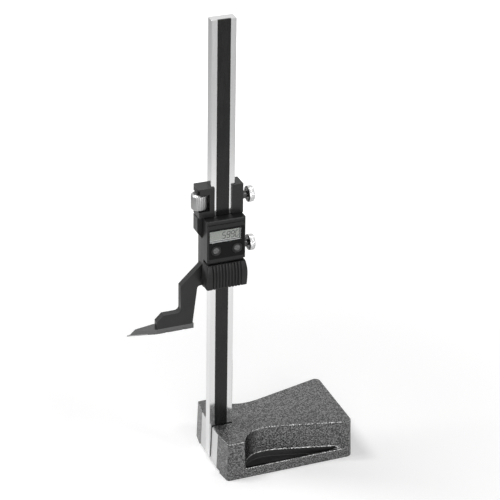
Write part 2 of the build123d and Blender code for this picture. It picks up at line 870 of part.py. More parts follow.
def push_button(x):
    """Round cap with a flange that keeps it behind the housing's front wall."""
    with BuildPart() as cap:
        with BuildSketch(facing_front(-display_front + button_flange_thick + hidden_gap)):
            with Locations((x, button_z)):
                Circle(button_radius + button_flange)
        extrude(amount=button_flange_thick)
        with BuildSketch(facing_front(-display_front + button_flange_thick + hidden_gap)):
            with Locations((x, button_z)):
                Circle(button_radius)
        extrude(
            amount=panel_front + button_proud - display_front + button_flange_thick + hidden_gap
        )
        chamfer(cap.edges().filter_by(GeomType.CIRCLE).sort_by(Axis.Y)[0], length=button_edge)
    return cap.part


left_button = push_button(-button_x)
left_button.label = "left_button"
right_button = push_button(button_x)
right_button.label = "right_button"

with BuildPart() as housing_screws:
    head_front = wrap_rear - housing_screw_head_depth
    with BuildSketch(facing_front(head_front)):
        with Locations(*housing_screw_spots):
            Circle(housing_screw_radius)
    extrude(amount=head_front + slide_front + housing_screw_bite)
    with BuildSketch(facing_front(wrap_rear)):
        with Locations(*housing_screw_spots):
            Circle(housing_screw_head)
    extrude(amount=housing_screw_head_depth)
    with BuildSketch(facing_front(wrap_rear)):
        with Locations(*housing_screw_spots):
            RegularPolygon(housing_screw_radius, 6)
    extrude(amount=housing_screw_head_depth / 2, mode=Mode.SUBTRACT)
housing_screws.part.label = "housing_screws"

# ---------------------------------------------------------------- battery and its cover
with BuildPart() as battery_tray:
    with BuildSketch(facing_front(-slide_front)):
        span(-tray_half, tray_half, cover_bottom + tray_margin, housing_bottom)
    extrude(amount=tray_thick)
    # Bar that closes the groove between the cover and the housing
    with BuildSketch(facing_front(-slide_front)):
        span(
            bridge_inset - housing_half,
            housing_half - bridge_inset,
            cover_top + seat_gap,
            housing_bottom,
        )
    extrude(amount=housing_depth - bridge_setback)
battery_tray.part.label = "battery_tray"

with BuildPart() as battery_contact:
    with BuildSketch(facing_front(-slide_front - tray_thick)):
        with Locations((0, battery_z)):
            Rectangle(contact_width, contact_height)
    extrude(amount=contact_thick)
battery_contact.part.label = "battery_contact"

with BuildPart() as battery:
    with BuildSketch(facing_front(-battery_rear)):
        with Locations((0, battery_z)):
            Circle(battery_radius)
    extrude(amount=battery_thick)
battery.part.label = "battery"


def cover_side(inset):
    """Side outline of the battery cover with its bulging front moved back by inset."""
    with BuildLine() as outline:
        Polyline(
            (-cover_low_front + inset, cover_bottom),
            (-cover_back, cover_bottom),
            (-cover_back, cover_top),
            (-cover_top_front + inset, cover_top),
        )
        ThreePointArc(
            (-cover_top_front + inset, cover_top),
            (-cover_mid_front + inset, cover_mid_z),
            (-cover_low_front + inset, cover_bottom),
        )
    return outline.line


with BuildPart() as battery_cover:
    with BuildSketch(facing_right(-cover_mid_half - 1)):
        add(cover_side(0))
        make_face()
    extrude(amount=2 * cover_mid_half + 2)
    with BuildSketch(facing_front(0)):
        with BuildLine():
            right_side = ThreePointArc(
                (cover_low_half, cover_bottom),
                (cover_mid_half, cover_mid_z),
                (cover_top_half, cover_top),
            )
            left_side = ThreePointArc(
                (-cover_top_half, cover_top),
                (-cover_mid_half, cover_mid_z),
                (-cover_low_half, cover_bottom),
            )
            Line(right_side @ 1, left_side @ 0)
            Line(left_side @ 1, right_side @ 0)
        make_face()
    extrude(amount=cover_mid_front + 1, mode=Mode.INTERSECT)
    # Hollow, open behind and on top so that the cover slides down past the battery
    with BuildSketch(facing_front(-cover_back)):
        span(
            cover_wall - cover_top_half,
            cover_top_half - cover_wall,
            cover_bottom + cover_wall,
            cover_top,
        )
    extrude(amount=cover_top_front - cover_wall - cover_back, mode=Mode.SUBTRACT)
    # Upright grooves between the ribs: what lies in front of the set-back outline is cut away
    for index in range(rib_grooves):
        groove_x = (index - (rib_grooves - 1) / 2) * rib_pitch
        with BuildSketch(facing_right(groove_x - groove_width / 2)):
            span(-cover_mid_front - 1, -cover_back, cover_bottom - 1, cover_top + 1)
            add(make_face(cover_side(groove_depth), mode=Mode.PRIVATE), mode=Mode.SUBTRACT)
        extrude(amount=groove_width, mode=Mode.SUBTRACT)
battery_cover.part.label = "battery_cover"

# ---------------------------------------------------------------- files
for piece in (
    base_casting.part,
    beam.part,
    beam_screws.part,
    scale_strip.part,
    scale_cover.part,
    slide_body.part,
    slide_gib.part,
    gib_screws.part,
    spindle.part,
    scriber_blade.part,
    scriber_tip.part,
    scriber_screws.part,
    carriage_block.part,
    carriage_clamp_pad.part,
    fine_nut.part,
    carriage_clamp,
    slide_clamp,
    housing.part,
    front_panel.part,
    display_window.part,
    display_module.part,
    circuit_board.part,
    board_connector.part,
    sensor_board.part,
    switch_domes.part,
    left_button,
    right_button,
    housing_screws.part,
    battery_tray.part,
    battery_contact.part,
    battery.part,
    battery_cover.part,
):
    export_step(piece, f"parts/{piece.label}.step")
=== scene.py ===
"""Looks of a digital height gauge: finishes, softened castings, knurled knobs, ribbed battery
cover, display and buttons, studio and camera."""

import functools
import json
import math

import bmesh
import bpy
from mathutils import Matrix, Vector


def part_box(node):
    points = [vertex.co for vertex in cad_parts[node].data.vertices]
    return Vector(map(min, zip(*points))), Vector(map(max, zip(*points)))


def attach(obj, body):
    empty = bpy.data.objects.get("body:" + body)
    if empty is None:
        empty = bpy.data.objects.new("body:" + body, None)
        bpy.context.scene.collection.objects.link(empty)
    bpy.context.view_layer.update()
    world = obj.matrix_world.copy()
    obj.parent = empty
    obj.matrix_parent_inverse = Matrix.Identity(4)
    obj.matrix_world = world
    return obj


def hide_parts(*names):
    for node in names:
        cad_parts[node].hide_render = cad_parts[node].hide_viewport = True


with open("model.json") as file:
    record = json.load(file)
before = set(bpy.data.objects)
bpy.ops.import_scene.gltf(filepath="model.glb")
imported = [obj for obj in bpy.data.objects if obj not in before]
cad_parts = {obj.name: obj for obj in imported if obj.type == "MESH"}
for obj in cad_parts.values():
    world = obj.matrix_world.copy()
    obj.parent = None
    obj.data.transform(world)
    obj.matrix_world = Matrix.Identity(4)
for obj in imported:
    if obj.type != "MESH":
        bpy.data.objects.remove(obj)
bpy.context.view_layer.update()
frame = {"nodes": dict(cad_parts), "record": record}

MM = 0.001
FULL_TURN = 2 * math.pi
WELD = 0.0005  # points closer than this, in millimetres, become one
CAD_WELD = 0.002  # the same for meshes that come from the CAD
SHARP_ANGLE = 32  # edges that turn by more than this, in degrees, are corners

nodes = frame["nodes"]
body_of_node = {
    node: body
    for body, members in frame["record"]["behaviour"]["bodies"].items()
    for node in members
}
slot_of_node = {
    part["node"]: part["material_slot"] for part in frame["record"]["subparts"]
}


@functools.cache
def node_box(node):
    """Lowest and highest corner of a CAD node, in millimetres."""
    low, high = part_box(node)
    return Vector(low) / MM, Vector(high) / MM


# ---------------------------------------------------------------- shader nodes
def add_node(tree, kind, **values):
    """New shader node; each value goes to the input of that name, or else to a property."""
    made = tree.nodes.new("ShaderNode" + kind)
    for key, value in values.items():
        if key in made.inputs:
            made.inputs[key].default_value = value
        else:
            setattr(made, key, value)
    return made


def math_node(tree, operation, first, second):
    """Output of a Math node fed by two sockets or numbers."""
    made = add_node(tree, "Math", operation=operation)
    for socket, value in zip(made.inputs, (first, second)):
        if isinstance(value, (int, float)):
            socket.default_value = value
        else:
            tree.links.new(value, socket)
    return made.outputs[0]


def map_range(tree, value, low, high, to_low, to_high, **values):
    """Output of a node that maps value from the range low..high to to_low..to_high."""
    ends = {"From Min": low, "From Max": high, "To Min": to_low, "To Max": to_high}
    made = add_node(tree, "MapRange", **ends, **values)
    tree.links.new(value, made.inputs["Value"])
    return made.outputs["Result"]


# ---------------------------------------------------------------- material helpers
RECESS_SHADE_TURN = (0.15, 0.75)  # +X share of a normal where the painted shade in the recess corner starts, and where it is full
RECESS_SHADE_END = (0.012, 0.03)  # in metres along X, where that painted shade ends
RECESS_SHADE_LEFT = 0.12  # share of the flecks that is left in the painted shade
SATIN_SPECULAR = 0.38
MOULDED_SPECULAR = 0.3
NOISE_RANGE = (0.3, 0.7)  # most values of a noise texture lie between these


def grey(value):
    """Neutral colour of one tone."""
    return (value, value, value)


class Finish:
    """A material built round one Principled shader, with short ways to add detail."""

    def __init__(self, name, color, roughness, metallic=0.0, **sockets):
        self.material = bpy.data.materials.new(name)
        self.material.use_nodes = True
        self.tree = self.material.node_tree
        self.shader = self.tree.nodes["Principled BSDF"]
        self.set("Base Color", (*color, 1.0))
        self.set("Roughness", roughness)
        self.set("Metallic", metallic)
        for socket, value in sockets.items():
            self.set(socket.replace("_", " "), value)
        self.coords = self.node("TexCoord").outputs["Object"]
        self.normal = None

    def set(self, socket, value):
        """Gives a socket of the shader a plain value."""
        self.shader.inputs[socket].default_value = value

    def node(self, kind, **values):
        """New node in the material's tree."""
        return add_node(self.tree, kind, **values)

    def link(self, start, end):
        """Feeds the socket end from the socket start."""
        self.tree.links.new(start, end)

    def stretched(self, scale):
        """Object coordinates in metres, times a scale for each axis."""
        mapping = self.node("Mapping", Scale=scale)
        self.link(self.coords, mapping.inputs["Vector"])
        return mapping.outputs["Vector"]

    def noise(self, scale, detail=3.0, roughness=0.5):
        """Cloudy pattern; the scale for each axis is in repeats a metre."""
        texture = self.node("TexNoise", Scale=1.0, Detail=detail, Roughness=roughness)
        self.link(self.stretched(scale), texture.inputs["Vector"])
        return texture.outputs["Fac"]

    def cells(self, scale, smooth=0.6):
        """Pattern of rounded cells."""
        texture = self.node("TexVoronoi", feature="SMOOTH_F1", Scale=1.0, Smoothness=smooth)
        self.link(self.stretched(scale), texture.inputs["Vector"])
        return texture.outputs["Distance"]

    def spread(self, value, low, high, to_low, to_high):
        """Maps value from the range low..high to to_low..to_high."""
        return map_range(self.tree, value, low, high, to_low, to_high)

    def contrast(self, noise):
        """The noise stretched over the whole of 0..1."""
        return self.spread(noise, *NOISE_RANGE, 0.0, 1.0)

    def painted_recess_shade(self):
        """1 on open faces, falling in the front corner of the finger recesses: painted shade.

        Faces in that corner that look along the base lose most of their light flecks, so they show
        darker as if in shade.
        """
        facing = self.node("SeparateXYZ")
        self.link(self.node("TexCoord").outputs["Normal"], facing.inputs[0])
        turned = self.spread(facing.outputs["X"], *RECESS_SHADE_TURN, 0.0, 1.0)
        place = self.node("SeparateXYZ")
        self.link(self.coords, place.inputs[0])
        inside = self.spread(place.outputs["X"], *RECESS_SHADE_END, 1.0, 0.0)
        recess_shaded = math_node(self.tree, "MULTIPLY", turned, inside)
        return self.spread(recess_shaded, 0.0, 1.0, 1.0, RECESS_SHADE_LEFT)

    def color_between(self, factor, dark, light):
        """Base colour that goes from dark to light with the factor."""
        mix = self.node("Mix", data_type="RGBA")
        self.link(factor, mix.inputs["Factor"])
        dark_socket, light_socket = mix.inputs[6], mix.inputs[7]
        dark_socket.default_value = (*dark, 1.0)
        light_socket.default_value = (*light, 1.0)
        self.link(mix.outputs[2], self.shader.inputs["Base Color"])

    def roughness_from(self, noise, low, high):
        """Roughness that wanders between two values with the noise."""
        self.link(self.spread(noise, *NOISE_RANGE, low, high), self.shader.inputs["Roughness"])

    def bump(self, height, distance, strength):
        """Relief from a pattern, on top of the relief that is there; distance is in metres."""
        made = self.node("Bump", Strength=strength, Distance=distance)
        self.link(height, made.inputs["Height"])
        if self.normal is not None:
            self.link(self.normal, made.inputs["Normal"])
        self.normal = made.outputs["Normal"]
        self.link(self.normal, self.shader.inputs["Normal"])


# ---------------------------------------------------------------- finishes
def hammered_enamel(name, dark, light, roughness):
    """Dark grey hammer-finish enamel: shallow dimples with lighter metallic flecks."""
    made = Finish(name, grey(light / 2), roughness, 0.35)
    dimples = made.cells((600, 600, 600), smooth=0.3)
    flecks = made.noise((690, 690, 690), detail=2.0)
    bright = made.spread(flecks, 0.44, 0.6, 0.0, 0.9)
    shallow = made.spread(dimples, 0.2, 0.75, 0.0, 0.25)
    mottling = math_node(made.tree, "ADD", bright, shallow)
    # painted shade: fewer light flecks in the front corner of the finger recesses
    shaded_mottling = math_node(made.tree, "MULTIPLY", mottling, made.painted_recess_shade())
    made.color_between(shaded_mottling, grey(dark), grey(light))
    made.roughness_from(flecks, roughness * 1.3, roughness * 0.7)
    made.bump(dimples, 0.0008, 0.6)
    made.bump(flecks, 0.0005, 0.6)
    return made.material


def ground_steel(name, tone, roughness, scale):
    """Ground steel with fine lines along one axis."""
    made = Finish(name, grey(tone), roughness, 1.0)
    lines = made.noise(scale, detail=4.0, roughness=0.7)
    made.color_between(made.contrast(lines), grey(tone * 0.88), grey(tone))
    made.roughness_from(lines, roughness * 0.8, roughness * 1.25)
    made.bump(lines, 0.00002, 0.25)
    return made.material


def turned_metal(name, tone, roughness):
    """Turned and plated metal: fine rings are left to the geometry, plating is uneven."""
    made = Finish(name, grey(tone), roughness, 1.0)
    cloud = made.noise((500, 500, 500))
    made.color_between(made.contrast(cloud), grey(tone * 0.86), grey(tone))
    made.roughness_from(cloud, roughness * 0.75, roughness * 1.3)
    return made.material


def cast_satin(name, tone, roughness):
    """Satin dark coating on a casting, with a very fine grain."""
    made = Finish(name, grey(tone), roughness, Specular_IOR_Level=SATIN_SPECULAR)
    grain = made.noise((2600, 2600, 2600), detail=2.0)
    cloud = made.noise((60, 60, 60), detail=2.0)
    made.color_between(made.contrast(cloud), grey(tone * 0.8), grey(tone * 1.2))
    made.roughness_from(grain, roughness * 0.85, roughness * 1.2)
    made.bump(grain, 0.00005, 0.5)
    return made.material


def moulded_plastic(name, tone, roughness):
    """Black moulded plastic with spark-eroded grain."""
    made = Finish(name, grey(tone), roughness, Specular_IOR_Level=MOULDED_SPECULAR)
    grain = made.noise((3200, 3200, 3200), detail=2.0)
    cloud = made.noise((90, 90, 90), detail=1.0)
    made.color_between(made.contrast(cloud), grey(tone * 0.8), grey(tone * 1.2))
    made.roughness_from(grain, roughness * 0.85, roughness * 1.15)
    made.bump(grain, 0.00004, 0.5)
    return made.material


def gloss_film(name, tone, roughness, specular):
    """Glossy dark film with a faint waviness."""
    made = Finish(name, grey(tone), roughness, Specular_IOR_Level=specular)
    waves = made.noise((220, 220, 40), detail=2.0)
    made.color_between(made.contrast(waves), grey(tone * 0.8), grey(tone * 1.25))
    made.roughness_from(waves, roughness * 0.8, roughness * 1.3)
    made.bump(waves, 0.00004, 0.3)
    return made.material


def plain_metal(name, color, roughness):
    """Small hidden metal parts: plated or turned, slightly uneven."""
    made = Finish(name, color, roughness, 1.0)
    spots = made.noise((900, 900, 900), detail=2.0)
    darker = tuple(0.8 * share for share in color)
    made.color_between(made.contrast(spots), darker, color)
    made.roughness_from(spots, roughness * 0.8, roughness * 1.3)
    return made.material


def clear_window():
    """Clear plastic of the window, with a polish that varies a little."""
    made = Finish("clear_window", (0.95, 0.97, 0.96), 0.04, Transmission_Weight=1.0)
    waves = made.noise((150, 150, 150), detail=1.0)
    made.roughness_from(waves, 0.03, 0.07)
    return made.material


def mottled_film(name, dark, light, scale, roughness):
    """Printed or frosted plastic whose tone wanders between two greys."""
    made = Finish(name, light, roughness)
    cloud = made.noise((scale, scale, scale), detail=2.0)
    made.color_between(made.spread(cloud, 0.35, 0.65, 0.0, 1.0), dark, light)
    made.roughness_from(cloud, roughness * 0.85, roughness * 1.2)
    return made.material


def laminate(name, color):
    """Circuit board with a woven texture under its solder mask."""
    made = Finish(name, color, 0.35)
    weave = made.cells((1400, 1400, 1400))
    darker = tuple(0.7 * share for share in color)
    made.color_between(made.spread(weave, 0.1, 0.6, 0.0, 1.0), darker, color)
    made.bump(weave, 0.00003, 0.4)
    return made.material


finishes = {
    "grey_paint": hammered_enamel("hammered_enamel", 0.003, 0.215, 0.26),
    "ground_steel": ground_steel("ground_beam_steel", 0.75, 0.13, (3500, 3500, 25)),
    "screw_steel": plain_metal("screw_steel", grey(0.12), 0.4),
    "scale_laminate": laminate("scale_laminate", grey(0.02)),
    "black_foil": gloss_film("black_foil", 0.008, 0.25, 0.3),
    "grey_casting": cast_satin("dark_satin_casting", 0.009, 0.38),
    "gib_brass": plain_metal("gib_brass", (0.62, 0.45, 0.18), 0.3),
    "tool_steel": ground_steel("dark_tool_steel", 0.13, 0.32, (400, 4000, 4000)),
    "carbide": ground_steel("ground_carbide", 0.35, 0.25, (4000, 400, 4000)),
    "nut_steel": turned_metal("satin_nut_steel", 0.37, 0.4),
    "bright_chrome": turned_metal("bright_chrome", 0.68, 0.2),
    "black_plastic": moulded_plastic("black_moulded_plastic", 0.01, 0.4),
    "panel_gloss": gloss_film("black_panel_frame", 0.005, 0.2, 0.3),
    "clear_window": clear_window(),
    "lcd_grey": mottled_film(
        "crystal_display", (0.27, 0.28, 0.255), (0.34, 0.35, 0.325), 900, 0.35
    ),
    "green_laminate": laminate("green_board", (0.02, 0.16, 0.06)),
    "elastomer": moulded_plastic("striped_elastomer", 0.05, 0.7),
    "dome_steel": plain_metal("spring_steel", grey(0.6), 0.28),
    "button_plastic": moulded_plastic("button_plastic", 0.008, 0.45),
}
membrane_finish = gloss_film("black_membrane", 0.003, 0.3, 0.12)
segment_finish = mottled_film("display_segments", grey(0.004), grey(0.012), 1500, 0.5)
strip_finish = mottled_film("display_edge_strip", grey(0.07), grey(0.12), 900, 0.5)
# painted highlight: light grey for the display glass's rim and the ledge below it
glass_edge_highlight_finish = mottled_film("painted_glass_edge_highlight", grey(0.55), grey(0.75), 700, 0.35)
insert_finish = mottled_film("button_insert", grey(0.04), grey(0.16), 900, 0.5)
machined_finish = ground_steel("machined_iron", 0.66, 0.34, (2500, 2500, 60))
# painted shade: dark metal for the neck and the head's inner face, which look towards the body
neck_shade_finish = turned_metal("painted_neck_shade", 0.08, 0.3)
# painted shade: smooth dark coat for the undercut of the finger channels, where shade falls
channel_shade_finish = cast_satin("painted_channel_shade", 0.045, 0.5)
# painted highlight: much lighter, glossier enamel for rounded edges and lips that face up
painted_highlight_enamel = hammered_enamel("painted_edge_highlight", 0.02, 0.75, 0.2)


def paint(piece, slot, *materials):
    """Gives a new piece its materials: those given, or else the finish of its slot."""
    piece.data.materials.clear()
    for material in materials or (finishes[slot],):
        piece.data.materials.append(material)


for name, slot in slot_of_node.items():
    nodes[name].data.materials.clear()
    nodes[name].data.materials.append(finishes[slot])


# ---------------------------------------------------------------- mesh helpers
CORNER_STEPS = 6
CIRCLE_SIDES = 64
LATHE_SIDES = 240
FLAT_ANGLE = 0.6  # CAD triangles that turn by less than this, in degrees, are one face
SECOND_FINISH = 1  # place of a piece's second material


def new_object(name, data):
    """New object in the scene that carries a mesh, a lamp or a camera."""
    made = bpy.data.objects.new(name, data)
    bpy.context.scene.collection.objects.link(made)
    return made


def stand_for(piece, node, *materials):
    """The piece stands for a CAD node: same body and, unless materials are given, the finish of its
    slot; the node is hidden.
    """
    paint(piece, slot_of_node[node], *materials)
    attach(piece, body_of_node[node])
    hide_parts(node)


def add_to(piece, node, slot, *materials):
    """The piece is an extra on a CAD node's body."""
    paint(piece, slot, *materials)
    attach(piece, body_of_node[node])


def smooth_faces(piece, angle=SHARP_ANGLE):
    """Shades the piece smooth, except over edges that turn by more than angle degrees."""
    piece.data.shade_smooth()
    piece.data.set_sharp_from_angle(angle=math.radians(angle))


def round_edges(piece, width, segments):
    """Gives the piece's sharp edges a real small radius, in millimetres."""
    bevel = piece.modifiers.new("edge_radius", "BEVEL")
    bevel.width = width * MM
    bevel.segments = segments
    bevel.limit_method = "ANGLE"
    bevel.angle_limit = math.radians(SHARP_ANGLE)
    bevel.use_clamp_overlap = True
    bevel.harden_normals = True
    return bevel


def welded(mesh, distance):
    """Editable copy of a mesh whose points within distance, in millimetres, are merged."""
    work = bmesh.new()
    work.from_mesh(mesh)
    bmesh.ops.remove_doubles(work, verts=work.verts, dist=distance * MM)
    return work


def write_mesh(work, mesh):
    """Ends the editing of a mesh."""
    work.to_mesh(mesh)
    work.free()


def finished_mesh(name, work):
    """Object from points and faces drawn in millimetres."""
    bmesh.ops.remove_doubles(work, verts=work.verts, dist=WELD)
    bmesh.ops.recalc_face_normals(work, faces=work.faces)
    bmesh.ops.scale(work, vec=(MM, MM, MM), verts=work.verts)
    mesh = bpy.data.meshes.new(name)
    write_mesh(work, mesh)
    return new_object(name, mesh)


def baked(piece):
    """Mesh of a piece with its modifiers applied."""
    graph = bpy.context.evaluated_depsgraph_get()
    return bpy.data.meshes.new_from_object(piece.evaluated_get(graph), depsgraph=graph)


def clean_mesh(node):
    """Copy of a CAD node's mesh with its flat faces whole again, ready for a bevel."""
    mesh = nodes[node].data.copy()
    work = welded(mesh, CAD_WELD)
    bmesh.ops.dissolve_limit(
        work, angle_limit=math.radians(FLAT_ANGLE), verts=work.verts, edges=work.edges
    )
    write_mesh(work, mesh)
    mesh.update()
    return mesh


def soften(node, width, segments=2):
    """Replaces a CAD node by a copy whose sharp edges carry a real small radius."""
    piece = new_object(node + "_softened", clean_mesh(node))
    smooth_faces(piece)
    round_edges(piece, width, segments)
    stand_for(piece, node)


def join_loops(work, loops, closed=True):
    """Faces from each loop of points to the next; a loop of a single point is a pole."""
    sides = max(len(loop) for loop in loops)
    for below, above in zip(loops, loops[1:]):
        for index in range(sides if closed else sides - 1):
            after = (index + 1) % sides
            corners = below[:1] if len(below) == 1 else [below[index], below[after]]
            corners += above[:1] if len(above) == 1 else [above[after], above[index]]
            work.faces.new(corners)


def lathe(rings, radius_at, place):
    """Turned body: rings of (along, radius), each point's radius and place worked out.

    radius_at(radius, angle) gives the real radius there; place(along, radius, angle) its spot.
    A ring without a radius closes an end, and a bored body ends on the ring it starts with.
    """
    work = bmesh.new()
    angles = [FULL_TURN * index / LATHE_SIDES for index in range(LATHE_SIDES)]
    loops = []
    for along, radius in rings:
        if radius == 0:
            spots = [place(along, 0, 0)]
        else:
            spots = [place(along, radius_at(radius, angle), angle) for angle in angles]
        loops.append([work.verts.new(spot) for spot in spots])
    join_loops(work, loops)
    return work


def plate(name, loops, front, thick):
    """Flat plate that looks towards -Y, from an outline and further loops of (x, z) corners.

    A loop inside another is a hole, and a loop beside it is one more plate. All is in
    millimetres.
    """
    work = bmesh.new()
    edges = []
    for loop in loops:
        corners = [work.verts.new((x, front, z)) for x, z in loop]
        edges += [work.edges.new((a, b)) for a, b in zip(corners, corners[1:] + corners[:1])]
    bmesh.ops.triangle_fill(work, use_beauty=True, use_dissolve=True, edges=edges)
    grown = bmesh.ops.extrude_face_region(work, geom=list(work.faces))
    moved = [item for item in grown["geom"] if isinstance(item, bmesh.types.BMVert)]
    bmesh.ops.translate(work, vec=(0, thick, 0), verts=moved)
    return finished_mesh(name, work)


def rectangle(left, right, low, high):
    """Corners of a rectangle."""
    return [(left, low), (right, low), (right, high), (left, high)]


def rounded_rectangle(left, right, low, high, radius):
    """Corners of a rectangle with quarter-round corners."""
    loop = []
    centres = (
        (right - radius, low + radius, -90),
        (right - radius, high - radius, 0),
        (left + radius, high - radius, 90),
        (left + radius, low + radius, 180),
    )
    for x, z, start in centres:
        for step in range(CORNER_STEPS + 1):
            turn = math.radians(start + 90 * step / CORNER_STEPS)
            loop.append((x + radius * math.cos(turn), z + radius * math.sin(turn)))
    return loop


def circle(x, z, radius):
    """Corners of a many-sided circle."""
    turns = [FULL_TURN * index / CIRCLE_SIDES for index in range(CIRCLE_SIDES)]
    return [(x + radius * math.cos(turn), z + radius * math.sin(turn)) for turn in turns]


# ---------------------------------------------------------------- castings and blade
ENAMEL, BARE_IRON, CHANNEL_SHADE, HIGHLIGHT_EDGE = range(4)  # order of the base's materials
FLAT_NORMAL = 0.95  # least share of a normal along an axis on a face that counts as flat
HEIGHT_SLACK = 0.1
NOSE_PAD_HALF = 23.2
NOSE_PAD_LEAN = 1.7  # how far the drafted pads lean back from the foot
CAST_ROUND = 1.0
CAST_SEGMENTS = 3
MACHINED_SHARE = 0.2  # of the cast edges' radius
UNDERSIDE_HEIGHT = 3.5
SCREW_OFFSET = 2.0  # along X from the beam's middle to the screw holes in the rear side
SCREW_HOLE_REACH = 7.0
SLOT_REACH = 8.0
SLOT_BEHIND = 0.5  # how far the slot's edges reach past the beam
BASE_CORNER_ANGLE = 28
WALL_FOOT = 14.4  # underside of the wall above the finger channel
FLANGE_TOP = 10.8
LAND_DEPTH = 2.0  # flat faces this far below the flange's top are still its land
RIM_DEPTH = 1.5
CHANNEL_RIM = 43.2
CHANNEL_END = 94.45  # where the wall comes out over the rim
CHANNEL_X = (-3.2, 102.0)
CHANNEL_CORE = 15.0
HIGHLIGHT_ROUNDING = (0.45, 0.9)  # upward part of the normals of the rounded edges that get the painted highlight
TOP_EDGE_DEPTH = 2.0
NOTCH_SIDE = (  # side view of a notch, from the channel's end and the flange's top
    (-10.0, 0.1),
    (-10.0, 3.6),
    (-0.3, 3.6),
    (6.8, 0.35),
    (6.8, 0.1),
)
NOTCH_DEPTH = (40.0, 48.0)


def on_nose_pad(spot):
    """Whether a place on the base, in millimetres, is on the pads beside the beam."""
    low = node_box("base_casting")[0]
    return spot.x < low.x + NOSE_PAD_LEAN and abs(spot.y) < NOSE_PAD_HALF


def is_machined(spot):
    """Whether a place on the base, in millimetres, belongs to a milled or drilled edge."""
    beam_low, beam_high = node_box("beam")
    screw_x = (beam_low.x + beam_high.x) / 2 + SCREW_OFFSET
    in_slot = spot.x < beam_high.x + SLOT_BEHIND and abs(spot.y) < SLOT_REACH
    by_hole = spot.y > SLOT_REACH and abs(spot.x - screw_x) < SCREW_HOLE_REACH
    return spot.z < UNDERSIDE_HEIGHT or in_slot or by_hole or on_nose_pad(spot)


def base_material(face):
    """Which of the base's four finishes a face takes: enamel, bare iron, the painted shade of the
    channels, or the painted highlight of upward edges.
    """
    top = node_box("base_casting")[1].z
    centre = face.center / MM
    upward = face.normal.z
    if on_nose_pad(centre) and face.normal.x < -FLAT_NORMAL:
        return BARE_IRON
    if upward < -FLAT_NORMAL and centre.z < UNDERSIDE_HEIGHT:
        return BARE_IRON
    in_height = UNDERSIDE_HEIGHT < centre.z < WALL_FOOT + HEIGHT_SLACK
    in_depth = CHANNEL_CORE < abs(centre.y) < CHANNEL_RIM
    in_length = CHANNEL_X[0] < centre.x < CHANNEL_X[1]
    on_land = upward > FLAT_NORMAL and centre.z > FLANGE_TOP - LAND_DEPTH
    # the channel's undercut takes the painted shade
    if in_height and in_depth and in_length and not on_land:
        return CHANNEL_SHADE
    least, most = HIGHLIGHT_ROUNDING
    on_top = centre.z > top - TOP_EDGE_DEPTH
    on_rim = FLANGE_TOP - RIM_DEPTH < centre.z < FLANGE_TOP + HEIGHT_SLACK
    # rounded edges that face up take the painted highlight
    if least < upward < most and (on_top or on_rim):
        return HIGHLIGHT_EDGE
    return ENAMEL


def drop_empty_faces(mesh):
    """Merges points that a bevel has laid on each other, so no face without area is left."""
    work = welded(mesh, WELD)
    bmesh.ops.dissolve_degenerate(work, dist=WELD * MM, edges=work.edges)
    write_mesh(work, mesh)


def notch_cutter():
    """A prism for the rear end of each finger channel."""
    work = bmesh.new()
    for side in (-1, 1):
        near, far = (
            [
                work.verts.new(
                    ((CHANNEL_END + x) * MM, side * depth * MM, (FLANGE_TOP + z) * MM)
                )
                for x, z in NOTCH_SIDE
            ]
            for depth in NOTCH_DEPTH
        )
        work.faces.new(near)
        work.faces.new(far[::-1])
        for index in range(len(near)):
            after = (index + 1) % len(near)
            work.faces.new((near[index], far[index], far[after], near[after]))
    bmesh.ops.recalc_face_normals(work, faces=work.faces)
    mesh = bpy.data.meshes.new("notch_cutter")
    write_mesh(work, mesh)
    return new_object("notch_cutter", mesh)


def cut_notches(piece):
    """Draws the rear end of both finger channels out to a point."""
    cutter = notch_cutter()
    cut = piece.modifiers.new("notches", "BOOLEAN")
    cut.operation = "DIFFERENCE"
    cut.solver = "EXACT"
    cut.object = cutter
    piece.data = baked(piece)
    piece.modifiers.clear()
    bpy.data.objects.remove(cutter)


def weigh_edges(mesh):
    """Marks the mesh's corners for the bevel: cast ones whole, machined ones by their share."""
    work = welded(mesh, CAD_WELD)
    weight = work.edges.layers.float.new("bevel_weight_edge")
    for edge in work.edges:
        if len(edge.link_faces) == 2 and edge.calc_face_angle() > math.radians(BASE_CORNER_ANGLE):
            middle = (edge.verts[0].co + edge.verts[1].co) / 2 / MM
            edge[weight] = MACHINED_SHARE if is_machined(middle) else 1.0
    write_mesh(work, mesh)


def cast_base():
    """Base with generous cast roundings and crisp machined edges."""
    piece = new_object("base_casting_softened", clean_mesh("base_casting"))
    cut_notches(piece)
    weigh_edges(piece.data)
    smooth_faces(piece)
    bevel = round_edges(piece, CAST_ROUND, CAST_SEGMENTS)
    bevel.limit_method = "WEIGHT"
    bevel.use_clamp_overlap = False
    bevel.harden_normals = False
    piece.data = baked(piece)
    piece.modifiers.clear()
    drop_empty_faces(piece.data)
    smooth_faces(piece)
    piece.modifiers.new("flat_faces", "WEIGHTED_NORMAL").keep_sharp = True
    enamel = finishes["grey_paint"]
    stand_for(
        piece, "base_casting", enamel, machined_finish, channel_shade_finish, painted_highlight_enamel
    )
    for face in piece.data.polygons:
        face.material_index = base_material(face)


# ---------------------------------------------------------------- lips over the finger channels
FOOT_SLACK = 0.02
LIP_RADIUS = 0.75
LIP_SIDES = 10
LIP_RISE = 0.2  # of its middle over the wall's lower edge
LIP_SINK = 0.35  # of its middle into the wall
LIP_END_SHORT = 0.6  # how much shorter the lip's last stretch is than the notch
LIP_END_RISE = 0.3  # of its end over the flange, on top of LIP_RISE
LIP_SMOOTH_ANGLE = 50


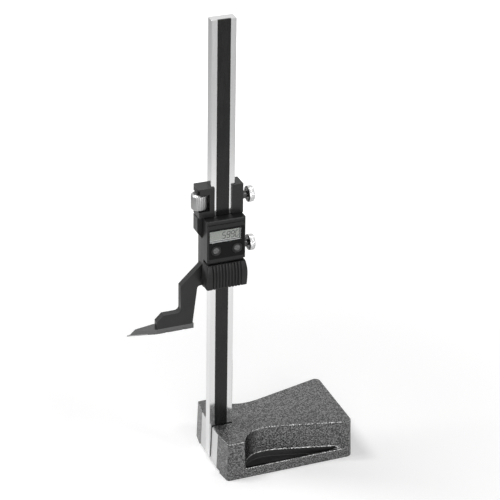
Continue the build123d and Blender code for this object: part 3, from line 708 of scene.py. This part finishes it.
def foot_path(side):
    """Line along the lower edge of the wall over one finger channel, front to rear."""
    work = welded(nodes["base_casting"].data, CAD_WELD)
    spots = {}
    for edge in work.edges:
        ends = [vert.co / MM for vert in edge.verts]
        if any(abs(end.z - WALL_FOOT) > FOOT_SLACK for end in ends):
            continue
        if any(end.y * side < CHANNEL_CORE for end in ends):
            continue
        heights = [face.calc_center_median().z / MM for face in edge.link_faces]
        if max(heights) > WALL_FOOT + HEIGHT_SLACK:
            for end in ends:
                spots[round(end.x, 2)] = (end.x, end.y)
    work.free()
    return [spots[x] for x in sorted(spots)]


def channel_lip(side, name):
    """Half-round lip that the casting carries along the lower edge of the wall."""
    path = [Vector((x, y, WALL_FOOT + LIP_RISE)) for x, y in foot_path(side)]
    last = path[-1]
    drop = WALL_FOOT - FLANGE_TOP
    slope = (path[-1].y - path[-3].y) / (path[-1].x - path[-3].x)
    reach = NOTCH_SIDE[3][0] - LIP_END_SHORT
    path.append(Vector((last.x + reach, last.y + slope * reach, last.z - drop + LIP_END_RISE)))
    turns = [FULL_TURN * step / LIP_SIDES for step in range(LIP_SIDES)]
    work = bmesh.new()
    rings = []
    for index, spot in enumerate(path):
        before = path[max(index - 1, 0)]
        after = path[min(index + 1, len(path) - 1)]
        along = (after - before).normalized()
        outward = Vector((along.y, -along.x, 0)).normalized() * -side
        upward = outward.cross(along)
        middle = spot - outward * LIP_SINK
        rings.append(
            [
                work.verts.new(
                    middle + (outward * math.cos(turn) + upward * math.sin(turn)) * LIP_RADIUS
                )
                for turn in turns
            ]
        )
    join_loops(work, rings)
    work.faces.new(rings[0])
    work.faces.new(rings[-1][::-1])
    piece = finished_mesh(name, work)
    smooth_faces(piece, LIP_SMOOTH_ANGLE)
    # painted highlight: the whole lip takes the lighter enamel
    add_to(piece, "base_casting", "grey_paint", painted_highlight_enamel)


cast_base()
channel_lip(-1, "front_channel_lip")
channel_lip(1, "rear_channel_lip")
soften("slide_body", 0.35)
soften("carriage_block", 0.35)
soften("scriber_blade", 0.12)


# ---------------------------------------------------------------- knobs and nut
THREAD_RADIUS = 2.5
NECK_RADIUS = 4.0
NECK_EDGE = 0.3
NECK_GROOVE = 0.9
HEAD_LENGTH = 6.1
HEAD_RADIUS = 8.1
HEAD_BACK = (  # from the knob's neck over the head's inner edge: distance from there, radius
    (-1.6, NECK_RADIUS),
    (-1.6, NECK_RADIUS - NECK_GROOVE),
    (0.5, NECK_RADIUS - NECK_GROOVE),
    (0.5, 5.2),
    (0.0, 5.6),
    (0.0, HEAD_RADIUS - 0.9),
    (0.2, HEAD_RADIUS - 0.4),
    (0.8, HEAD_RADIUS),
)
HEAD_FACE = (  # from the outer edge to the middle of the dish: distance from the face, radius
    (-0.8, HEAD_RADIUS),
    (-0.2, HEAD_RADIUS - 0.4),
    (0.0, HEAD_RADIUS - 0.9),
    (0.0, 5.6),
    (-0.5, 5.0),
    (-0.5, 0),
)
NECK_SHADE_END = 0.7  # how far the painted shade of the neck goes into the head, over its inner face
KNURLS = 48
KNURL_DEPTH = 0.22
NUT_FLUTES = 20
NUT_FLUTE_DEPTH = 0.3
NUT_BORE = 1.81
NUT_COUNTERSINK = (0.5, 0.6)  # depth, and how much wider than the bore
NUT_CHAMFER = 1.6
NUT_END = (  # chamfer with rounded edges: distance from the end, distance in from the radius
    (0.0, NUT_CHAMFER + 0.3),
    (0.15, NUT_CHAMFER),
    (NUT_CHAMFER - 0.15, 0.15),
    (NUT_CHAMFER + 0.2, 0.0),
)
TURNED_SMOOTH_ANGLE = 24
KNOB_GAP = 0.3  # from the block that a clamp's screw goes into


def knurled(crests, depth, outer):
    """Radius with V-shaped grooves near the outer radius, and round further in."""

    def radius_at(radius, angle):
        wave = abs((angle * crests / FULL_TURN) % 1.0 * 2 - 1)
        reach = max(0.0, 1 - (outer - radius) / depth / 2)
        return radius - depth * reach * (1 - wave)

    return radius_at


def fluted(crests, depth, outer):
    """Radius with rounded flutes between wide lands."""

    def radius_at(radius, angle):
        wave = max(0.0, math.cos(angle * crests)) ** 2
        reach = max(0.0, 1 - (outer - radius) / depth / 4)
        return radius - depth * reach * wave

    return radius_at


def clamp_knob(node, block):
    """Chromed knob along X: thread, grooved neck, and a knurled head with a dished face."""
    low, high = node_box(node)
    neck = node_box(block)[1].x + KNOB_GAP
    head = high.x - HEAD_LENGTH
    middle = (low.z + high.z) / 2
    rings = [
        (low.x, 0),
        (low.x, THREAD_RADIUS),
        (neck, THREAD_RADIUS),
        (neck, NECK_RADIUS - NECK_EDGE),
        (neck + NECK_EDGE, NECK_RADIUS),
    ]
    rings += [(head + along, radius) for along, radius in HEAD_BACK]
    rings += [(high.x + along, radius) for along, radius in HEAD_FACE]

    def place(along, radius, angle):
        return (along, radius * math.cos(angle), middle + radius * math.sin(angle))

    work = lathe(rings, knurled(KNURLS, KNURL_DEPTH, HEAD_RADIUS), place)
    piece = finished_mesh(node + "_knurled", work)
    smooth_faces(piece, TURNED_SMOOTH_ANGLE)
    stand_for(piece, node, finishes["bright_chrome"], neck_shade_finish)
    # painted shade on the neck and the head's inner face
    for polygon in piece.data.polygons:
        if polygon.center.x / MM < head + NECK_SHADE_END:
            polygon.material_index = SECOND_FINISH


def feed_nut():
    """Satin fluted nut on the fine-feed spindle, with wide chamfers and a bored middle."""
    low, high = node_box("fine_nut")
    centre = (low + high) / 2
    radius = (high.y - low.y) / 2
    sink_depth, sink_width = NUT_COUNTERSINK
    rings = [(low.z, NUT_BORE)]
    rings += [(low.z + depth, radius - inward) for depth, inward in NUT_END]
    rings += [(high.z - depth, radius - inward) for depth, inward in NUT_END[::-1]]
    rings += [(high.z, NUT_BORE + sink_width), (high.z - sink_depth, NUT_BORE), rings[0]]

    def place(along, radius, angle):
        return (centre.x + radius * math.cos(angle), centre.y + radius * math.sin(angle), along)

    work = lathe(rings, fluted(NUT_FLUTES, NUT_FLUTE_DEPTH, radius), place)
    piece = finished_mesh("fine_nut_fluted", work)
    smooth_faces(piece, TURNED_SMOOTH_ANGLE)
    stand_for(piece, "fine_nut")


clamp_knob("carriage_clamp", "carriage_block")
clamp_knob("slide_clamp", "slide_body")
feed_nut()


# ---------------------------------------------------------------- ribbed battery cover
COVER_WALL = 1.8
COVER_TOP_DRAW_IN = 1.5  # each side is this much further in at the top than at the middle
COVER_LOW_DRAW_IN = 0.5
COVER_TOP_FRONT_IN = 3.1  # and so is the front
COVER_LOW_FRONT_IN = 0.8
COVER_CORNER = 1.3
COVER_EDGE = 0.3
RIB_PITCH = 3.25
RIB_GROOVES = 10
GROOVE_WIDTH = 1.9
GROOVE_DEPTH = 1.05
RIB_STEP = 0.2
RIBBED_HALF = 17.0
COVER_LEVELS = 24
MOULDED_SMOOTH_ANGLE = 40


def bulge(share, low_in, top_in):
    """How far the cover draws in at a share of its height: nothing at the middle."""
    from_middle = 2 * share - 1
    return from_middle**2 * (top_in if from_middle > 0 else low_in)


def groove_at(x):
    """Depth of the rounded grooves at x from the cover's middle."""
    index = round(x / RIB_PITCH + (RIB_GROOVES - 1) / 2)
    if not 0 <= index < RIB_GROOVES:
        return 0.0
    offset = x - (index - (RIB_GROOVES - 1) / 2) * RIB_PITCH
    if abs(offset) > GROOVE_WIDTH / 2:
        return 0.0
    return GROOVE_DEPTH * math.cos(math.pi * offset / GROOVE_WIDTH) ** 2


def cover_path(half, front, back):
    """Outline from the left back corner round the ribbed front to the right, x from the middle."""
    left = [(-half, back)]
    for step in range(CORNER_STEPS + 1):
        turn = math.radians(90 * step / CORNER_STEPS)
        across = COVER_CORNER * (1 - math.cos(turn))
        inward = COVER_CORNER * (1 - math.sin(turn))
        left.append((-half + across, front + inward))
    columns = round(RIBBED_HALF / RIB_STEP)
    spots = [index * RIB_STEP for index in range(-columns, columns + 1)]
    face = [(x, front + groove_at(x)) for x in spots]
    right = [(-x, y) for x, y in reversed(left)]
    return left + face + right


def cover_levels(height):
    """Heights of the cover's outlines as a share of its height, each with its edge's inset."""
    edge = COVER_EDGE / height
    shares = [index / COVER_LEVELS for index in range(COVER_LEVELS + 1)]
    between = [(min(max(share, edge), 1 - edge), 0.0) for share in shares]
    return [(0.0, COVER_EDGE), *between, (1.0, COVER_EDGE)]


def ribbed_cover():
    """Battery cover: bulging shell with upright rounded ribs, open behind and on top."""
    low, high = node_box("battery_cover")
    middle = (low.x + high.x) / 2
    half = (high.x - low.x) / 2
    height = high.z - low.z
    work = bmesh.new()
    skin = []
    for share, inset in cover_levels(height):
        path = cover_path(
            half - bulge(share, COVER_LOW_DRAW_IN, COVER_TOP_DRAW_IN) - inset,
            low.y + bulge(share, COVER_LOW_FRONT_IN, COVER_TOP_FRONT_IN) + inset,
            high.y,
        )
        z = low.z + share * height
        skin.append([work.verts.new((middle + x, y, z)) for x, y in path])
    join_loops(work, skin, closed=False)
    inner_half = half - COVER_TOP_DRAW_IN - COVER_WALL
    inner_front = low.y + COVER_TOP_FRONT_IN + COVER_WALL
    floor = low.z + COVER_WALL
    (
        low_left_front,
        left_front,
        low_left_back,
        left_back,
        low_right_front,
        right_front,
        low_right_back,
        right_back,
    ) = (
        work.verts.new((middle + side * inner_half, y, z))
        for side in (-1, 1)
        for y in (inner_front, high.y)
        for z in (floor, high.z)
    )
    left_edge = [loop[0] for loop in skin]
    right_edge = [loop[-1] for loop in skin]
    back_gap = [left_back, low_left_back, low_right_back, right_back]
    work.faces.new(skin[-1] + [right_back, right_front, left_front, left_back])
    work.faces.new(skin[0][::-1])
    work.faces.new(left_edge + back_gap + right_edge[::-1])
    work.faces.new((left_back, left_front, low_left_front, low_left_back))
    work.faces.new((right_front, right_back, low_right_back, low_right_front))
    work.faces.new((left_front, right_front, low_right_front, low_left_front))
    work.faces.new((low_left_back, low_left_front, low_right_front, low_right_back))
    piece = finished_mesh("battery_cover_ribbed", work)
    smooth_faces(piece, MOULDED_SMOOTH_ANGLE)
    stand_for(piece, "battery_cover")


ribbed_cover()


# ---------------------------------------------------------------- panel and buttons
FRAME_BAND_TOP = 4.4  # glossy frame above the printed membrane
FRAME_BAND_LOW = 3.4
FRAME_SIDE = 0.9
MEMBRANE_THICK = 0.1
MEMBRANE_CORNER = 1.2
WINDOW_CORNER = 0.5
BUTTON_RADIUS = 5.2
BUTTON_CLEARANCE = 0.3
FLANGE_THICK = 0.8
FLANGE_WIDTH = 0.5
BUTTON_RIM = (  # from the side over the rim to the ring: distance behind the face, in from the side
    (0.35, 0.0),
    (0.1, 0.1),
    (0.0, 0.35),
    (0.0, 0.8),
    (0.15, 1.1),
    (0.55, 1.6),
    (0.6, 1.9),
    (0.42, 2.1),
)
BUTTON_INSERT = ((0.36, 2.0), (0.33, 0))  # distance behind the face, radius
INSERT_START = 1.9  # in from the button's side
INSERT_DEPTH = 0.5

soften("housing", 0.35, 3)
soften("front_panel", 0.25)


def button_centre(node):
    """Middle of a button in x and z, and the radius of its flange."""
    low, high = node_box(node)
    return (low.x + high.x) / 2, (low.z + high.z) / 2, (high.x - low.x) / 2


def membrane():
    """Printed film on the panel, with openings for the window and the two buttons."""
    low, high = node_box("front_panel")
    window_low, window_high = node_box("display_window")
    outline = rounded_rectangle(
        low.x + FRAME_SIDE,
        high.x - FRAME_SIDE,
        low.z + FRAME_BAND_LOW,
        high.z - FRAME_BAND_TOP,
        MEMBRANE_CORNER,
    )
    window = rounded_rectangle(
        window_low.x, window_high.x, window_low.z, window_high.z, WINDOW_CORNER
    )
    loops = [outline, window]
    for node in ("left_button", "right_button"):
        x, z, _ = button_centre(node)
        loops.append(circle(x, z, BUTTON_RADIUS + BUTTON_CLEARANCE))
    piece = plate("panel_membrane", loops, low.y - MEMBRANE_THICK, MEMBRANE_THICK)
    add_to(piece, "front_panel", "panel_gloss", membrane_finish)


def button(node):
    """Round push button: raised rim, dished ring and a lighter insert in the middle."""
    low, high = node_box(node)
    x_middle, z_middle, flange = button_centre(node)
    radius = flange - FLANGE_WIDTH
    face = low.y
    rings = [
        (high.y, 0),
        (high.y, flange),
        (high.y - FLANGE_THICK, flange),
        (high.y - FLANGE_THICK, radius),
    ]
    rings += [(face + depth, radius - inward) for depth, inward in BUTTON_RIM]
    rings += [(face + depth, distance) for depth, distance in BUTTON_INSERT]

    def place(along, distance, angle):
        x = x_middle + distance * math.cos(angle)
        z = z_middle + distance * math.sin(angle)
        return (x, along, z)

    work = lathe(rings, lambda distance, angle: distance, place)
    piece = finished_mesh(node + "_dished", work)
    smooth_faces(piece, MOULDED_SMOOTH_ANGLE)
    stand_for(piece, node, finishes["button_plastic"], insert_finish)
    for polygon in piece.data.polygons:
        centre = polygon.center / MM
        distance = math.hypot(centre.x - x_middle, centre.z - z_middle)
        if centre.y < face + INSERT_DEPTH and distance < radius - INSERT_START:
            polygon.material_index = SECOND_FINISH


# ---------------------------------------------------------------- display
LCD_RIGHT_STRIP = 2.2
LCD_LEDGE = 0.85
LCD_GASKET = 1.0
LCD_THICK = 0.3
RIM_WIDTH = 0.55
RIM_LIFT = 0.36
RIM_THICK = 0.06
LEDGE_SHORT = 0.8  # how far the ledge stops before the window's right side
LEDGE_THICK = 0.7
LEDGE_ROUND = 0.2
GASKET_START = 1.5
DIGITS = "5990"
DIGITS_END = 13.8  # where the pitch of the last digit ends, from the beam's axis
DIGIT_PITCH = 4.55
DIGIT_WIDTH = 3.05
DIGIT_HEIGHT = 6.9
DIGIT_LIFT = 3.2  # above the window's lower edge
SEGMENT_WIDTH = 1.0
SEGMENT_GAP = 0.05
SEGMENT_THICK = 0.05
SLANT = 0.13
SEGMENTS_OF = {"5": "afgcd", "9": "abcdfg", "0": "abcdef"}


def segment(x0, z0, x1, z1):
    """Six-cornered bar between two points of a digit, in the digit's own upright frame."""
    reach = SEGMENT_WIDTH / 2
    along = Vector((x1 - x0, z1 - z0)).normalized()
    across = Vector((-along.y, along.x)) * reach
    start = Vector((x0, z0)) + along * SEGMENT_GAP
    end = Vector((x1, z1)) - along * SEGMENT_GAP
    first, last = start + along * reach, end - along * reach
    return [start, first - across, last - across, end, last + across, first + across]


def digit_segments(digit):
    """Bars of a seven-segment digit."""
    top, half, right = DIGIT_HEIGHT, DIGIT_HEIGHT / 2, DIGIT_WIDTH
    ends = {
        "a": (0, top, right, top),
        "b": (right, half, right, top),
        "c": (right, 0, right, half),
        "d": (0, 0, right, 0),
        "e": (0, 0, 0, half),
        "f": (0, half, 0, top),
        "g": (0, half, right, half),
    }
    return [segment(*ends[name]) for name in SEGMENTS_OF[digit]]


def display_layer(name, loops, lift, thick, slot, *materials):
    """Layer of the display whose face lies lift millimetres before the module's."""
    front = node_box("display_module")[0].y
    piece = plate(name, loops, front - lift, thick)
    add_to(piece, "display_module", slot, *materials)
    return piece


def display():
    """Liquid crystal whose rim and the ledge below it carry a painted highlight, and four slanted
    digits.
    """
    low, high = node_box("display_window")
    left, right = low.x, high.x - LCD_RIGHT_STRIP
    ledge_top = low.z + LCD_LEDGE
    bottom = ledge_top + LCD_GASKET
    glass = rectangle(left, right, bottom, high.z)
    inside_rim = rectangle(
        left + RIM_WIDTH, right - RIM_WIDTH / 2, bottom + RIM_WIDTH, high.z - RIM_WIDTH
    )
    ledge_shape = rectangle(left, high.x - LEDGE_SHORT, low.z, ledge_top)
    gasket = rectangle(left + GASKET_START, right, ledge_top, bottom)
    strip = rectangle(right, high.x, ledge_top, high.z)
    segment_lift = LCD_THICK + SEGMENT_THICK
    display_layer("display_glass", [glass], LCD_THICK, LCD_THICK, "lcd_grey")
    # the rim and the ledge take the painted highlight
    display_layer(
        "display_glass_rim", [glass, inside_rim], RIM_LIFT, RIM_THICK, "lcd_grey", glass_edge_highlight_finish
    )
    ledge = display_layer(
        "display_ledge", [ledge_shape], LEDGE_THICK, LEDGE_THICK, "lcd_grey", glass_edge_highlight_finish
    )
    round_edges(ledge, LEDGE_ROUND, 2)
    display_layer(
        "display_gasket", [gasket], segment_lift, LCD_THICK, "elastomer", segment_finish
    )
    display_layer(
        "display_edge_strip", [strip], LCD_THICK, LCD_THICK, "black_plastic", strip_finish
    )
    beam_low, beam_high = node_box("beam")
    beam_axis = (beam_low.x + beam_high.x) / 2
    z_start = low.z + DIGIT_LIFT
    bars = []
    for index, digit in enumerate(DIGITS):
        x_start = beam_axis + DIGITS_END - DIGIT_PITCH * (len(DIGITS) - index)
        for bar in digit_segments(digit):
            bars.append([(x_start + x + SLANT * z, z_start + z) for x, z in bar])
    display_layer("display_digits", bars, segment_lift, SEGMENT_THICK, "lcd_grey", segment_finish)


membrane()
display()
button("left_button")
button("right_button")


# ---------------------------------------------------------------- studio
# The camera was fitted with x measured from the beam's axis, which lies at BEAM_X.
BEAM_X = -17.55
VIEW_RIGHT = Vector((0.93079, -0.36530, 0.01424))
VIEW_UP = Vector((0.15919, 0.44006, 0.88375))
VIEW_BACK = Vector((-0.32909, -0.82031, 0.46775))
VIEW_PLACE = Vector((BEAM_X - 669.6, -1747.6, 1233.6)) * MM
LENS = 154.5
SENSOR_WIDTH = 36.0
VIEW_REACH = 50.0
FLOOR_HALF = 6.0
FLOOR_DROP = 0.2  # in millimetres, so the base's underside and the floor don't share a plane
FLOOR_COLOR = 0.8
GLOW_NEAR = 0.31  # added to the lit floor near the object, where its shadow has to show
GLOW_FAR = 1.0
NEAR_REACH = 0.2
FAR_REACH = 1.0
GLOW_HALF = 0.3  # half width of the strip that reflections see, across the line of view
GLOW_EDGE = 0.55
WORLD_ZENITH = 0.18
WORLD_HORIZON = 0.4
LIGHTS = {  # place, aim and size in metres, power in watts
    "key": ((-0.75, 0.33, 1.65), (0, 0, 0.1), (0.55, 0.55), 17),
    "fill": ((-0.3, -1.9, 0.7), (0, 0, 0.15), (1.4, 1.0), 16),
    "sparkle": ((0.66, -0.9, 1.6), (0, 0, 0.1), (0.35, 0.35), 4),
}


def floor_glow(tree):
    """Strength of the floor's glow: all of it for the camera, a strip for reflections."""
    spot = add_node(tree, "TexCoord").outputs["Object"]
    reach = add_node(tree, "VectorMath", operation="LENGTH")
    tree.links.new(spot, reach.inputs[0])
    fade = map_range(
        tree,
        reach.outputs["Value"],
        NEAR_REACH,
        FAR_REACH,
        GLOW_NEAR,
        GLOW_FAR,
        interpolation_type="SMOOTHSTEP",
    )
    across = add_node(tree, "VectorMath", operation="DOT_PRODUCT")
    across.inputs[1].default_value = (VIEW_RIGHT.x, VIEW_RIGHT.y, 0)
    tree.links.new(spot, across.inputs[0])
    offset = math_node(tree, "ABSOLUTE", across.outputs["Value"], 0.0)
    strip = map_range(
        tree, offset, GLOW_HALF, GLOW_EDGE, 1.0, 0.0, interpolation_type="SMOOTHSTEP"
    )
    rays = add_node(tree, "LightPath").outputs
    mirrored = math_node(tree, "MAXIMUM", rays["Is Glossy Ray"], rays["Is Transmission Ray"])
    in_strip = math_node(tree, "MULTIPLY", mirrored, strip)
    seen = math_node(tree, "MAXIMUM", rays["Is Camera Ray"], in_strip)
    return math_node(tree, "MULTIPLY", fade, seen)


def studio_floor():
    """Pale floor that shows as white to the camera but keeps the object's shadow.

    Metal and glass see the same white, in a wide strip behind and before the object.
    """
    material = bpy.data.materials.new("studio_floor")
    material.use_nodes = True
    tree = material.node_tree
    tree.nodes.clear()
    diffuse = add_node(tree, "BsdfDiffuse", Color=(*grey(FLOOR_COLOR), 1.0))
    glow = add_node(tree, "Emission")
    tree.links.new(floor_glow(tree), glow.inputs["Strength"])
    both = add_node(tree, "AddShader")
    tree.links.new(diffuse.outputs[0], both.inputs[0])
    tree.links.new(glow.outputs[0], both.inputs[1])
    tree.links.new(both.outputs[0], add_node(tree, "OutputMaterial").inputs["Surface"])
    return material


def make_floor():
    """Large floor just below the object."""
    mesh = bpy.data.meshes.new("floor")
    work = bmesh.new()
    bmesh.ops.create_grid(work, x_segments=1, y_segments=1, size=FLOOR_HALF)
    write_mesh(work, mesh)
    floor = new_object("floor", mesh)
    floor.location.z = -FLOOR_DROP * MM
    mesh.materials.append(studio_floor())


def make_world():
    """Soft light that is weaker from above than from the sides; white where it is seen."""
    world = bpy.data.worlds.new("studio_world")
    bpy.context.scene.world = world
    world.use_nodes = True
    tree = world.node_tree
    tree.nodes.clear()
    split = add_node(tree, "SeparateXYZ")
    tree.links.new(add_node(tree, "TexCoord").outputs["Generated"], split.inputs[0])
    soft = add_node(tree, "Background", Color=(*grey(1.0), 1.0))
    height = map_range(tree, split.outputs["Z"], 0.0, 1.0, WORLD_HORIZON, WORLD_ZENITH)
    tree.links.new(height, soft.inputs["Strength"])
    white = add_node(tree, "Background", Color=(*grey(1.0), 1.0))
    rays = add_node(tree, "LightPath").outputs
    seen = rays["Is Camera Ray"]
    for name in ("Is Glossy Ray", "Is Transmission Ray"):
        seen = math_node(tree, "MAXIMUM", seen, rays[name])
    mix = add_node(tree, "MixShader")
    tree.links.new(seen, mix.inputs[0])
    tree.links.new(soft.outputs[0], mix.inputs[1])
    tree.links.new(white.outputs[0], mix.inputs[2])
    tree.links.new(mix.outputs[0], add_node(tree, "OutputWorld").inputs["Surface"])


def area_light(name, place, aim, size, power):
    """Rectangular lamp at a place, turned towards the aim."""
    light = bpy.data.lights.new(name, "AREA")
    light.shape = "RECTANGLE"
    light.size, light.size_y = size
    light.energy = power
    lamp = new_object(name, light)
    lamp.location = place
    direction = Vector(aim) - Vector(place)
    lamp.rotation_euler = direction.to_track_quat("-Z", "Y").to_euler()


def make_camera():
    """Camera from where the photograph was taken."""
    camera = new_object("camera", bpy.data.cameras.new("camera"))
    turn = Matrix((VIEW_RIGHT, VIEW_UP, VIEW_BACK)).transposed().to_4x4()
    camera.matrix_world = Matrix.Translation(VIEW_PLACE) @ turn
    camera.data.sensor_width = SENSOR_WIDTH
    camera.data.lens = LENS
    camera.data.clip_end = VIEW_REACH
    bpy.context.scene.camera = camera


make_floor()
make_world()
for name, values in LIGHTS.items():
    area_light(name, *values)
make_camera()
bpy.context.scene.view_settings.view_transform = "Standard"
